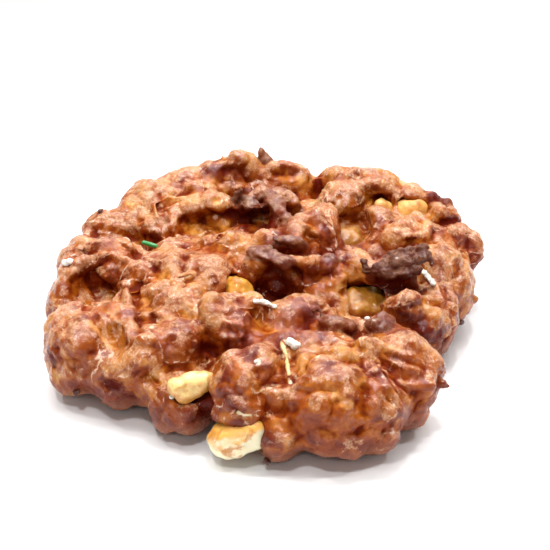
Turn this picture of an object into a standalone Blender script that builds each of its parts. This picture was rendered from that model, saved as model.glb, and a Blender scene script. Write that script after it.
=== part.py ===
"""Apple fritter: one lump of fried dough with pieces of apple stuck in it.

Metres, +Z up, origin at the bottom centre of the bounding box. The fritter lies on its flat underside, +X runs
across its width and -Y is the front, where the dough ends in one long fold.

The dough is a union of soft lumps (ellipsoids) that stay pinched where two folds meet. Pits are scooped out of it,
and it is cut level underneath. Each piece of apple sits in a pocket of its own, with a thin gap round it.
"""

import math
import random

import bmesh
import bpy
from mathutils import Euler, Matrix, Vector

MM = 0.001

# Driving dimensions, in millimetres.
VOXEL = 1.1  # grid that melts the lumps into one skin
DENT_SIZE = 8.0  # width of the shallow dents all over the dough
DENT_DEPTH = 2.2
POCKET_GAP = 0.45  # between a piece of apple and the dough round it
FLOOR_CUTTER = 400.0

BALL_SUBDIVISIONS = 3
SMOOTH_PASSES = 3  # rounds the pinch between two lumps
SKIN_TRIANGLES = 6600  # left on the dough

# Lumps of dough: name, centre, radii, turn about Z in degrees.
CORE = [
    ("core_back", (2, 18, 12), (54, 40, 14), 0),
    ("core_front", (12, -32, 12), (32, 22, 13), 0),
    ("core_left", (-36, -8, 12), (25, 26, 12.6), 0),
    ("base_back_left", (-28, 42, 11), (22, 17, 11.3), 20),
    ("base_back", (4, 47, 11), (24, 15, 11.3), 0),
    ("base_back_right", (34, 41, 11), (22, 17, 11.3), -20),
    ("base_right", (50, 19, 10.5), (14, 22, 10.8), 0),
]
FRONT_FOLD = [
    ("front_middle", (20, -49, 14), (20, 15, 14.6), 4),
    ("front_belly_top", (17, -46, 24), (10, 6.5, 6), 6),
    ("front_left", (-5, -46, 16), (11.5, 12.5, 13), -8),
    ("front_left_foot", (4, -51, 9), (10, 12, 9.5), 0),
    ("front_knob", (-1.5, -44, 25.5), (5, 5, 5.5), 0),
    ("front_right", (38, -38.5, 13), (10.5, 12, 13), 0),
    ("front_right_bulge", (43, -43, 16), (5.5, 6, 7), 0),
    ("front_right_foot", (28, -52, 10), (9.5, 9, 10), 0),
    ("front_crest", (12, -36, 20), (21, 8, 9.5), -4),
    ("front_right_crest", (37, -31, 20), (13, 6.5, 8), -28),
]
LEFT_FOLDS = [
    ("left_tip", (-53, -20, 14), (13.5, 14, 13.5), 14),
    ("left_tip_end", (-56.5, -27, 11), (7.5, 7.5, 9), 0),
    ("left_between", (-44, -31, 12), (8, 10, 11), 10),
    ("left_front", (-35, -31, 15), (8, 12, 13), 8),
    ("left_nose", (-24, -42, 10), (9.5, 9.5, 9.5), 0),
    ("left_blister", (-26, -30, 22), (8.5, 7.5, 7.5), 0),
    ("left_wall", (-62, 8, 13), (7.5, 14, 12.5), -8),
    ("left_wall_back", (-59.5, 22, 14), (9, 12, 12), 0),
    ("left_body", (-50, 14, 14), (15, 14, 12), 0),
    ("left_arch", (-52, 17, 23.5), (14, 6, 6.5), 4),
    ("left_arch_lip", (-49, 10, 24.5), (11, 4.5, 4.5), 2),
    ("left_arch_end", (-37, 8, 22), (6, 9, 7), 0),
    ("left_tongue_body", (-44, 37, 13), (17, 12, 11), 20),
    ("left_tongue", (-48, 38, 22.5), (15, 7.5, 6.5), 12),
]
BACK_FOLDS = [
    ("back_valley", (9, 47, 15), (24, 13, 12), 0),
    ("back_left", (-38, 47, 24), (13, 10, 11), 24),
    ("back_left_rim", (-27, 57, 23), (15, 9, 12), 18),
    ("back_left_ledge", (-18, 41, 27), (13, 6, 6), 10),
    ("back_knob_side", (-18, 59, 28), (8, 7.5, 9), 0),
    ("back_knob_foot", (-8, 58, 26), (11, 8, 10), 0),
    ("back_knob", (-9, 60, 33), (6.5, 6.5, 6.5), 0),
    ("back_crest", (6, 61, 26), (11, 7.5, 9.5), -4),
    ("back_button", (23, 61, 27), (7, 6, 7), 0),
    ("back_right", (34, 54, 24.5), (15, 12, 11.5), -14),
    ("back_right_rim", (47, 47, 22), (12, 11, 11), -20),
    ("right_shoulder", (57, 43, 19), (10, 9, 11), -30),
]
RIGHT_FOLDS = [
    ("right_knot", (62, 30, 18), (7.5, 9, 10), 0),
    ("right_side", (55, 14, 15), (11.5, 15, 14), 6),
    ("right_low", (50, -3, 12), (9, 11, 12.5), 0),
    ("right_inner", (40, -7, 17), (12, 10, 11.5), 0),
    ("right_plateau", (45, 26, 20), (15, 17, 11), 0),
]
MIDDLE_FOLDS = [
    ("middle_plateau", (-27, 3, 17), (18, 20, 13), 0),
    ("plateau_edge", (-16, 2, 21), (8, 9, 8.5), 0),
    ("plateau_front", (-27, -14, 20), (9, 9, 8.5), 0),
    ("plateau_back", (-29, 20, 20), (9, 9, 7.5), 0),
    ("middle_hump", (-13, 17, 24), (10, 8, 9), 0),
    ("middle_front", (-11, -20, 20), (9.5, 12, 11.5), -6),
    ("pit_front_rim", (9, -17, 20), (13, 8, 9.5), 6),
    ("pit_front_rim_end", (22, -26, 22), (9, 6, 7), 14),
    ("nodule", (34, -26, 24.5), (4.5, 4.5, 5), 0),
    ("pit_back_rim", (13, 1, 24), (13, 5.5, 8.5), -6),
    ("pit_lip", (0, 4, 28), (8, 4.5, 5), -18),
    ("centre_bulge", (15, 25, 26), (9, 8.5, 9), 0),
    ("centre_crest", (-1, 29, 21), (12, 8, 8), -14),
    ("centre_mass", (1, 19, 24), (9, 6.5, 8.5), 0),
    ("strap_back", (2, 43, 29), (11, 3, 3.5), -4),
    ("strap_middle", (3.5, 29, 30), (3, 8.5, 3), 29),
    ("strap_knob", (-8, 40, 29), (3.5, 3.5, 4.5), 0),
    ("shard_foot", (38, -1, 27), (9, 4.5, 6), 14),
]
KNOBS = [
    ("front_knob_left", (-8.5, -45, 25), (4.5, 4.5, 4.5), 0),
    ("front_knob_middle", (22, -51, 24.5), (5.5, 5, 5), 0),
    ("front_knob_top", (28, -40, 26.5), (4.5, 4, 4), 0),
    ("front_knob_right", (38, -36, 25), (6, 5, 5), -20),
    ("front_knob_end", (46, -37, 18), (5, 6, 6), 0),
    ("left_knob_inner", (-33, -34, 24), (5.5, 5, 5), 0),
    ("left_knob_low", (-38, -37, 18), (6, 5.5, 6), 0),
    ("tip_knob_front", (-53, -28, 21), (6.5, 6, 6), 0),
    ("tip_knob_back", (-45, -21, 25), (6, 6.5, 5), 20),
    ("tip_knob_side", (-60, -18, 20), (6, 8, 6), 0),
    ("lobe_knob_left", (-15, -23, 29), (5, 6, 5), 0),
    ("lobe_knob_front", (-9, -28, 23), (6.5, 5, 7), 0),
    ("lobe_knob_right", (-4, -18, 29), (4, 4.5, 4), 0),
    ("plateau_knob_back", (-31, 12, 24), (7, 7, 5), 0),
    ("plateau_knob_right", (-17, 4, 27), (6, 6, 4.5), 0),
    ("rim_bead_left", (8, 3, 29), (4, 3.5, 4), 0),
    ("rim_bead_middle", (14, 1, 28.5), (4, 3.5, 4), 0),
    ("rim_bead_right", (20, 3, 29), (4.5, 3.5, 4), 0),
    ("grey_slab", (7, 13, 29), (6.5, 3.5, 4), -10),
    ("bulge_knob_front", (10, 21, 31), (5.5, 5, 4.5), 0),
    ("bulge_knob_back", (18, 31, 30), (6, 6, 5), 0),
    ("right_knob_back", (25, 46, 28), (8.5, 8, 7), 0),
    ("right_knob_inner", (36, 33, 28), (6.5, 5, 5), 0),
    ("right_knob_middle", (43, 22, 27), (8, 7, 6), 0),
    ("right_knob_outer", (54, 13, 25), (8, 8, 6), 0),
    ("shard_knob", (28, 5, 28), (6, 6, 5), 0),
    ("right_knob_front", (41, -12, 25), (6.5, 6, 5), 0),
    ("right_knob_low", (47, -13, 18.5), (6, 6, 6), 0),
    ("back_knob_ramp", (-35, 35, 24), (9, 8, 7), 0),
    ("back_knob_inner", (-22, 48, 28), (8, 6, 7), 0),
    ("back_knob_outer", (-41, 52, 27), (6.5, 6, 6), 0),
]
LUMPS = CORE + FRONT_FOLD + LEFT_FOLDS + BACK_FOLDS + RIGHT_FOLDS + MIDDLE_FOLDS + KNOBS

# Pits between the folds, in the same form.
PITS = [
    ("deep_pit", (3, -4, 24), (8.5, 6.5, 13), -14),
    ("pit_window", (-8, -6, 28), (6, 6, 6), 0),
    ("right_pit", (29, -10, 26), (9, 6, 9), 10),
    ("shard_shadow", (40, -8, 28), (9, 4, 6), 14),
    ("left_cavity", (-52, 1, 19.5), (9, 6, 4.5), 0),
    ("ledge_pocket", (-22, 33, 26), (8, 4, 5), 8),
    ("far_pit", (28, 31, 27), (6, 8, 8), 0),
    ("crest_hollow", (-4, 31, 29), (5, 5, 4), 0),
]

# Diced apple: name, centre, size, turn about X, Y and Z in degrees, share by which the +X end narrows, seed.
APPLE = [
    ("apple_front", (-7.5, -56.5, 8.6), (9, 9, 15.5), (0, 84, 5), 0.4, 1),
    ("apple_left", (-20.5, -46, 18), (12, 8, 8), (-10, -12, 16), 0.45, 2),
    ("apple_right", (48, 41, 28), (8, 6, 6), (-12, 8, 4), 0.1, 3),
    ("apple_right_slice", (39, 43, 29), (4.5, 8, 5), (-10, 0, -12), 0.2, 4),
    ("apple_deep_pit", (-9, -0.5, 22.5), (8, 9, 9), (-10, 20, 30), 0.1, 5),
    ("apple_right_pit", (30, -2, 20.5), (11, 8, 8), (20, 0, 10), 0.1, 6),
    ("apple_far_pit", (26, 29, 23), (7, 9, 7), (10, 10, 0), 0.1, 7),
]
CORNER_JITTER = 0.14  # share of its size by which a cut corner strays
CORNER_ROUNDING = 0.25  # share of the smallest side

# Materials: name, colour, roughness.
DOUGH = ("dough", (0.32, 0.11, 0.035), 0.35)
FLESH = ("apple", (0.86, 0.62, 0.25), 0.4)


def clear_scene():
    for old in list(bpy.data.objects):
        bpy.data.objects.remove(old)


def collection_of(name):
    made = bpy.data.collections.new(name)
    bpy.context.scene.collection.children.link(made)
    return made


def finish_of(name, colour, roughness):
    made = bpy.data.materials.new(name)
    made.use_nodes = True
    shader = made.node_tree.nodes["Principled BSDF"]
    shader.inputs["Base Color"].default_value = (*colour, 1)
    shader.inputs["Roughness"].default_value = roughness
    shader.inputs["Metallic"].default_value = 0
    return made


def metres(millimetres):
    return Vector(millimetres) * MM


def radians(degrees):
    return Euler([math.radians(angle) for angle in degrees])


def object_of(name, shape, collection):
    """Turns a bmesh into an object."""
    mesh = bpy.data.meshes.new(name)
    shape.to_mesh(mesh)
    shape.free()
    made = bpy.data.objects.new(name, mesh)
    collection.objects.link(made)
    return made


def melt(made):
    """Joins what overlaps into one skin."""
    remesh = made.modifiers.new("melt", "REMESH")
    remesh.mode = "VOXEL"
    remesh.voxel_size = VOXEL * MM


def relax(made):
    smooth = made.modifiers.new("relax", "SMOOTH")
    smooth.iterations = SMOOTH_PASSES


def dent(made):
    """Shallow uneven dents, from a fixed cloud pattern."""
    clouds = bpy.data.textures.new("dents", "CLOUDS")
    clouds.noise_scale = DENT_SIZE * MM
    displace = made.modifiers.new("dents", "DISPLACE")
    displace.texture = clouds
    displace.strength = DENT_DEPTH * MM


def cut(made, cutter):
    cutter.hide_render = True
    cutter.display_type = "WIRE"
    difference = made.modifiers.new("cut_" + cutter.name, "BOOLEAN")
    difference.operation = "DIFFERENCE"
    difference.object = cutter


def settle(made):
    """Gives an object the mesh that its modifiers make, and drops the modifiers."""
    graph = bpy.context.evaluated_depsgraph_get()
    mesh = bpy.data.meshes.new_from_object(made.evaluated_get(graph))
    made.modifiers.clear()
    made.data = mesh


def thin_out(made, triangles):
    """Collapses edges until about this many triangles are left, and leaves the flat stretches the fewest."""
    made.data.calc_loop_triangles()
    decimate = made.modifiers.new("thin_out", "DECIMATE")
    decimate.ratio = triangles / len(made.data.loop_triangles)


def balls(name, rows, collection):
    """One object that holds an ellipsoid for each row of a table."""
    shape = bmesh.new()
    for _, centre, radii, turn in rows:
        matrix = Matrix.LocRotScale(metres(centre), radians((0, 0, turn)), metres(radii))
        bmesh.ops.create_icosphere(shape, subdivisions=BALL_SUBDIVISIONS, radius=1.0, matrix=matrix)
    made = object_of(name, shape, collection)
    melt(made)
    return made


def floor_cutter(collection):
    """A block whose top is the level that the fritter rests on."""
    shape = bmesh.new()
    bmesh.ops.create_cube(shape, size=FLOOR_CUTTER * MM)
    made = object_of("floor_cutter", shape, collection)
    made.location = metres((0, 0, -FLOOR_CUTTER / 2))
    return made


def apple_piece(name, centre, size, turn, narrowing, seed, collection):
    """A diced piece of apple: a block with uneven corners, one narrower end and rounded edges."""
    draw = random.Random(seed)
    shape = bmesh.new()
    bmesh.ops.create_cube(shape, size=1.0)
    for corner in shape.verts:
        if corner.co.x > 0:
            corner.co.yz *= 1 - narrowing
        corner.co += Vector([draw.uniform(-CORNER_JITTER, CORNER_JITTER) for _ in range(3)])
        corner.co *= metres(size)
    made = object_of(name, shape, collection)
    made.location = metres(centre)
    made.rotation_euler = radians(turn)
    rounding = made.modifiers.new("rounding", "BEVEL")
    rounding.width = CORNER_ROUNDING * min(size) * MM
    rounding.segments = 2
    settle(made)
    made.data.shade_smooth()
    return made


def pocket_cutter(pieces, collection):
    """The apple pieces in one object, each grown by the gap."""
    shape = bmesh.new()
    for piece in pieces:
        start = len(shape.verts)
        shape.from_mesh(piece.data)
        shape.verts.ensure_lookup_table()
        place = Matrix.LocRotScale(piece.location, piece.rotation_euler, None)
        bmesh.ops.transform(shape, matrix=place, verts=shape.verts[start:])
    made = object_of("pocket_cutter", shape, collection)
    grow = made.modifiers.new("grow", "DISPLACE")
    grow.mid_level = 0
    grow.strength = POCKET_GAP * MM
    return made


def dough(pieces, parts, cutters):
    """The fried dough with its pits, its flat underside and the pockets of the apple pieces."""
    made = balls("dough", LUMPS, parts)
    relax(made)
    cut(made, balls("pit_cutter", PITS, cutters))
    melt(made)
    relax(made)
    dent(made)
    settle(made)
    thin_out(made, SKIN_TRIANGLES)
    cut(made, floor_cutter(cutters))
    cut(made, pocket_cutter(pieces, cutters))
    settle(made)
    made.data.shade_smooth()
    return made


def stand_on_origin(body, pieces, parts):
    """Hangs everything on an empty that puts the bottom centre of the dough's box on the origin."""
    axes = list(zip(*(vertex.co for vertex in body.data.vertices)))
    low = [min(axis) for axis in axes]
    high = [max(axis) for axis in axes]
    stand = bpy.data.objects.new("stand", None)
    stand.location = (-(low[0] + high[0]) / 2, -(low[1] + high[1]) / 2, -low[2])
    parts.objects.link(stand)
    for made in [body, *pieces]:
        made.parent = stand


def main():
    clear_scene()
    parts = collection_of("apple_fritter")
    cutters = collection_of("cutters")
    pieces = [apple_piece(*row, parts) for row in APPLE]
    body = dough(pieces, parts, cutters)
    stand_on_origin(body, pieces, parts)
    body.data.materials.append(finish_of(*DOUGH))
    flesh = finish_of(*FLESH)
    for piece in pieces:
        piece.data.materials.append(flesh)


main()
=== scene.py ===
"""Looks of the apple fritter: a glazed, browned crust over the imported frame, with apple, burnt flakes
and sugar.

Lengths and places are in millimetres in the frame's axes, +X right, -Y front, +Z up, unless a comment
says otherwise. A place of two numbers is dropped from above onto the skin, and one of three numbers goes
to the nearest skin.
"""

import math

import bmesh
import bpy
import numpy as np
from mathutils import Matrix, Vector, noise
from mathutils.bvhtree import BVHTree


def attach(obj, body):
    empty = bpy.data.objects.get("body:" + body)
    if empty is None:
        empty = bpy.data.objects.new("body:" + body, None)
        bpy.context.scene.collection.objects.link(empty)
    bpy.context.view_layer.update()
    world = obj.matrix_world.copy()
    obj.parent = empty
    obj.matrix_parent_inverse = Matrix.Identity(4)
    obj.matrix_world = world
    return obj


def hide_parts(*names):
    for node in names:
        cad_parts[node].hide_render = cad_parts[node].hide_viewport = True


MM = 0.001
WELD = 0.001  # joins the split corners of a frame node

# Camera: where it looks, from how high and how far.
LOOK_AT = (2.45, 17.45, 15.0)
CAMERA_RISE = 31.0  # degrees
CAMERA_DISTANCE = 430.0
CAMERA_LENS = 87.25
CAMERA_SENSOR = 36

# Skin of the dough.
SKIN_VOXEL = 0.5
FACET_PASSES = 20  # melts the frame's facets
SHARD_PASSES = 3  # the same near a shard, so that it keeps its edges
FORM_PASSES = 4  # evens out the direction in which small forms rise
FORM_REACH = 1.7  # a small form fades out at this many times its half width
FORM_RISE = 1.2  # share of its height that a raised form gets
FORM_SINK = 0.65  # the same for a sunk one
TINT_REACH = 1.5  # a tint fades out at this many times its radius
SHARD_REACH = 1.0  # how far past its balls a shard keeps the skin coarse
BURN_REACH = 1.4  # how far past its balls a shard colours the skin
COARSE_LEAST = 0.4  # how coarse the palest shards are, as a share of the blackest
VEIN_HEIGHT = 0.35
GRIT_HEIGHT = 0.8

# Layers of knobs, from large to small: size, height, distance over which the height changes, seed.
KNOB_LAYERS = [
    (9.0, 2.0, 22, 4),
    (4.6, 0.6, 14, 5),
    (2.0, 0.3, 7, 6),
]
# Measures of how far a point lies below its surroundings, and how wide those reach, in passes.
HOLLOWS = {"crease": 9, "dip": 46, "valley": 230}
# How far apart the noises of two seeds lie.
CLOUD_STEP = (7.31, 3.17, 5.71)
KNOB_STEP = (2.71, 9.13, 4.37)

# Shards and thin flaps that stand off the dough: name, thickness as a share of width, how burnt, and the
# balls along each, as x, y, z, radius.
SHARDS = [
    ("wing_hook", 0.8, 1.0, [
        (29.0, -5.2, 33.2, 1.3), (29.4, -7.4, 31.4, 1.5), (32.0, -8.0, 31.8, 1.6),
        (35, -6.6, 32.6, 2.2),
    ]),
    ("wing", 0.4, 0.8, [
        (35.5, -5.6, 32.8, 2.5), (40.0, -5.4, 33.8, 3.4), (44.5, -5.0, 34.8, 3.6),
        (47.6, -5.2, 35.2, 2.4),
    ]),
    ("wing_ridge", 0.7, 0.95, [
        (36.2, -2.6, 33.0, 1.2), (40.0, -2.0, 34.2, 1.5), (44.0, -1.6, 35.4, 1.6),
        (48, -1.6, 36.2, 1.3),
    ]),
    ("wing_tip", 0.8, 0.95, [
        (46.5, -2.8, 35.6, 1.4), (49.0, -4.6, 35.2, 1.2), (49.6, -7.0, 33.8, 1.2),
    ]),
    ("wing_skirt", 0.9, 1.0, [
        (33.5, -8.6, 31.2, 1.6), (37.0, -9.0, 31.0, 2.1), (41.0, -9.2, 31.6, 2.0),
        (45, -8.8, 32.4, 1.4),
    ]),
    ("wing_foot", 1.0, 0.9, [(38.0, 0.0, 31.0, 2.8), (44.5, 0.5, 30.5, 3.2)]),
    ("crest_tip", 1.0, 0.9, [
        (-9.0, 36.0, 31.0, 2.4), (-8.8, 36.0, 34.3, 1.8), (-8.4, 36.2, 36.4, 1.0),
    ]),
    ("crest_grey", 0.6, 0.7, [
        (-7.0, 34.5, 32.6, 2.6), (-5.2, 32.6, 32.4, 2.8), (-3.0, 32.2, 32.2, 2.4),
    ]),
    ("crest_strap", 0.7, 0.16, [
        (-5.0, 38.6, 32.6, 2.2), (-2.0, 39.8, 33.2, 3.0), (1.5, 38.6, 32.2, 2.4),
        (5.0, 39.8, 32.4, 3.4), (8.0, 38.0, 31.2, 2.6),
    ]),
    ("crest_slant", 0.7, 0.3, [
        (1.0, 36.0, 32.4, 2.6), (2.6, 32.4, 33.0, 3.4), (3.4, 28.8, 31.6, 2.6), (5.0, 25.8, 31.8, 3.0),
        (6.4, 22.5, 30.6, 2.2),
    ]),
    ("pit_flap", 0.5, 0.62, [
        (-4.4, 3.6, 31.6, 2.4), (-0.6, 1.4, 32.6, 3.2), (3.8, -1.4, 31.8, 2.8), (5.6, -3.2, 30.8, 1.6),
    ]),
    ("grey_slab", 0.45, 0.65, [(3.6, 10.0, 32.6, 1.9), (7.4, 9.2, 32.8, 2.4), (10.6, 8.6, 32.0, 1.6)]),
    ("front_slab", 0.6, 0.5, [
        (16.0, -29.8, 28.4, 2.2), (19.6, -31.8, 28.4, 3.0), (23.4, -31.6, 27.6, 2.4),
    ]),
    ("front_curl", 0.9, 0.9, [
        (13.6, -25.6, 28.6, 1.0), (15.0, -26.0, 29.4, 1.0), (15.6, -27.4, 29.2, 0.9),
    ]),
    ("right_nodule", 0.9, 0.65, [(31.0, -31.0, 27.4, 2.6), (33.8, -31.6, 27.0, 2.1)]),
    ("right_nodule_bump", 0.8, 0.6, [(33.6, -27.0, 28.0, 1.6), (36.0, -27.6, 27.2, 1.4)]),
    ("back_spike", 1.0, 0.4, [
        (-0.4, 60.4, 34.4, 2.6), (-1.6, 60.8, 37.0, 1.3), (-2.4, 61.0, 38.9, 0.5),
    ]),
    ("right_spike", 1.0, 0.5, [
        (46.0, -44.0, 17.4, 2.2), (49.0, -44.6, 16.4, 1.3), (51.0, -44.8, 15.8, 0.6),
    ]),
    ("rim_beads", 1.0, 0.4, [(18.6, 0.6, 31.2, 1.8), (21.2, 0.4, 31.0, 1.9)]),
]
BALL_STEP = 0.35  # between the balls of a shard, as a share of their radius

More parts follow.
